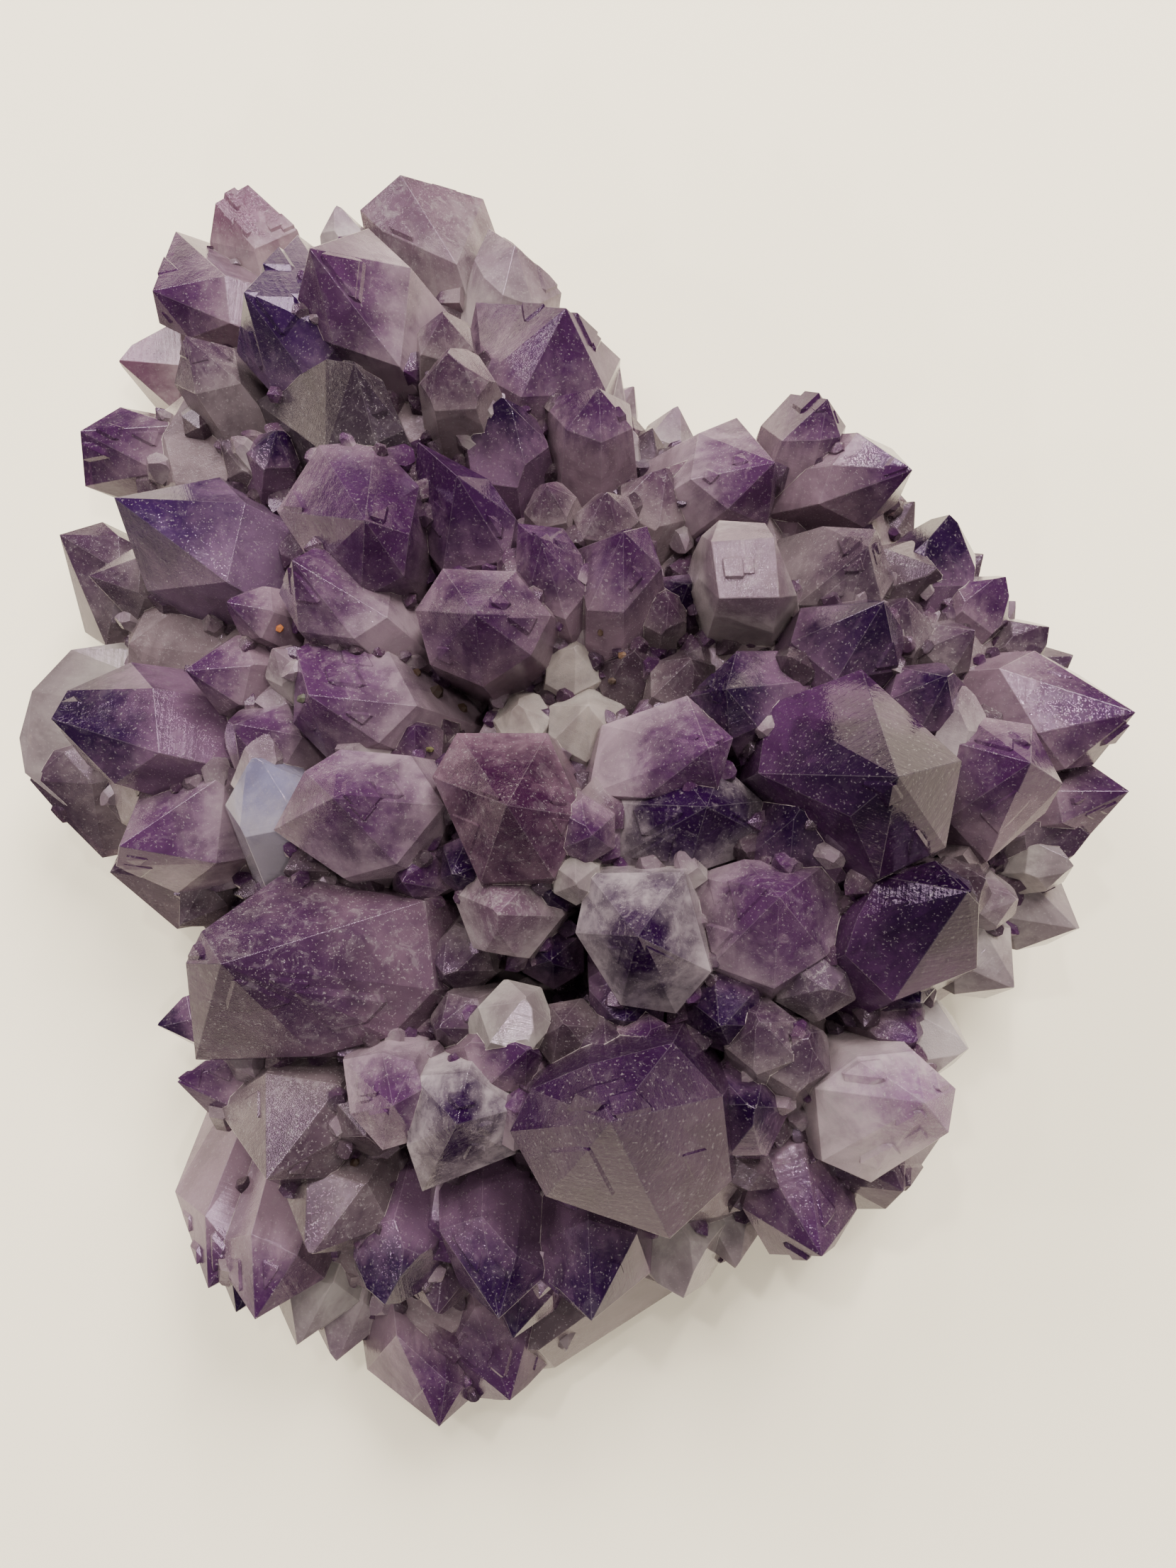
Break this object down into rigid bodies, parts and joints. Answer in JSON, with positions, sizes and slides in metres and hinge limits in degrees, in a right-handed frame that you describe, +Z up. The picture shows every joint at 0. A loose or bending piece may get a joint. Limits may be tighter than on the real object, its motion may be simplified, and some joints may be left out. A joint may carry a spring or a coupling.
{
  "type": "amethyst cluster",
  "caption": "Lobed mound of pointed amethyst crystals grown together, cut off flat underneath so that it rests on a table.",
  "frame": {"origin": "middle of the flat underside, on the surface that the cluster rests on", "axes": "+Z up out of the crystals, +Y towards the long upper lobe, +X towards the right-hand lobe"},
  "size_m": [0.1708, 0.2024, 0.066],
  "materials": {
    "amethyst": "glassy purple crystal faces, paler at the edges, with fine dust"
  },
  "bodies": {
    "root": {"amethyst_cluster": "amethyst"}
  },
  "joints": []
}
